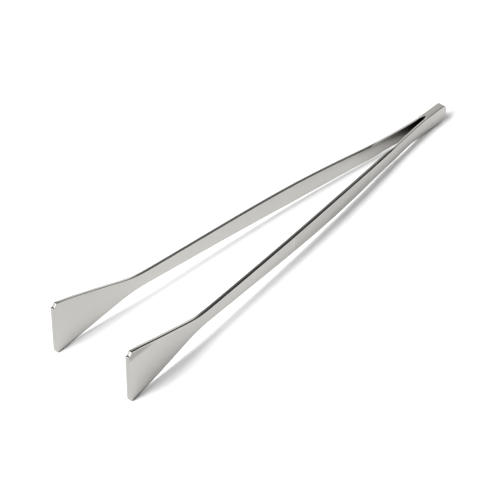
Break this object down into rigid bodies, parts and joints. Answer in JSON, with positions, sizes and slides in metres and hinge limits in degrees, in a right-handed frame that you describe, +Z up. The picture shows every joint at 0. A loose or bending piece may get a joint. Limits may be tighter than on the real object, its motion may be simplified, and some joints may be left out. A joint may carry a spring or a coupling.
{
  "type": "print tongs",
  "caption": "Sprung stainless tongs for lifting wet photographic prints from a tray: two strips welded face to face at one end and flared into flat gripping blades at the other.",
  "frame": {"origin": "under the middle of the tongs' overall box, on the surface they lie on", "axes": "+X from the welded joint end towards the gripping blades, +Y across the opening towards the near arm, +Z up, away from the surface the tongs lie on"},
  "size_m": [0.212, 0.04, 0.0244],
  "materials": {
    "arm_steel": "satin, finely brushed along the strip",
    "weld_steel": "weld ground flush and brushed"
  },
  "bodies": {
    "joint_tab": {"near_arm_root": "arm_steel", "far_arm_root": "arm_steel", "seam_weld": "weld_steel"},
    "near_arm": {"near_arm": "arm_steel"},
    "far_arm": {"far_arm": "arm_steel"}
  },
  "joints": [
    {"name": "near_arm_flex", "type": "hinge", "parent": "joint_tab", "child": "near_arm", "pos_m": [-0.068, 0.0036, 0.0048], "axis": [0, 0, -1], "range_deg": [0, 5.95], "stiffness_Nm_per_rad": 6},
    {"name": "far_arm_flex", "type": "hinge", "parent": "joint_tab", "child": "far_arm", "pos_m": [-0.068, -0.0036, 0.0048], "axis": [0, 0, 1], "range_deg": [0, 5.95], "stiffness_Nm_per_rad": 6}
  ],
  "couplings": [
    {"joint": "far_arm_flex", "follows": "near_arm_flex", "ratio": 1}
  ]
}
